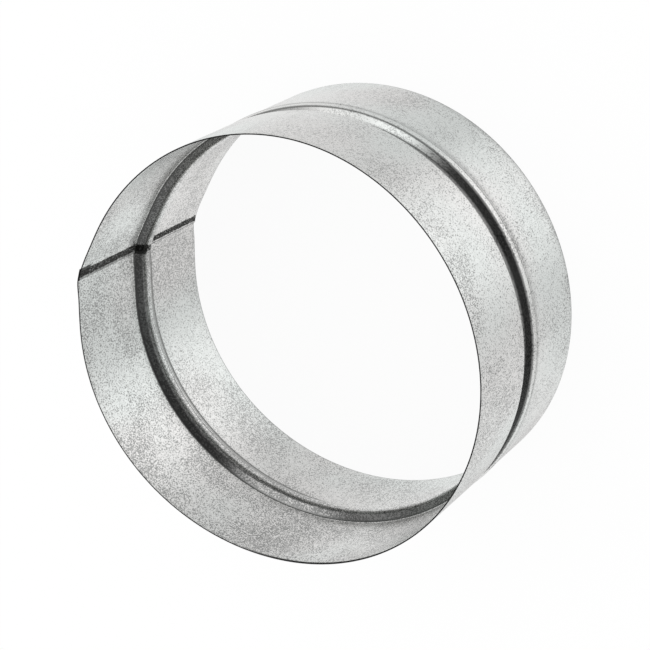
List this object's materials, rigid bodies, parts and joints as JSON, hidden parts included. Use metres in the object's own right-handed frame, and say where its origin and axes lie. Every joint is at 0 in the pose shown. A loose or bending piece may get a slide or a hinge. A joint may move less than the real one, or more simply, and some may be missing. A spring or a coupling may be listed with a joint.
{
  "type": "duct connector",
  "caption": "Round galvanised sheet-steel sleeve with a welded lap seam and an inward bead near mid length that stops the two duct ends pushed into it.",
  "frame": {"origin": "centre of the lower rim, where the sleeve stands on its end", "axes": "+Z along the sleeve's axis to the upper rim, +X through the middle of the lap seam"},
  "size_m": [0.2018, 0.2012, 0.102],
  "materials": {
    "galvanised_sheet": "hot-dip galvanised sheet steel, pale grey with a fine spangle and small dark flecks, with a dark burnt weld line along the lap seam"
  },
  "bodies": {
    "root": {"connector_sleeve": "galvanised_sheet"}
  },
  "joints": []
}
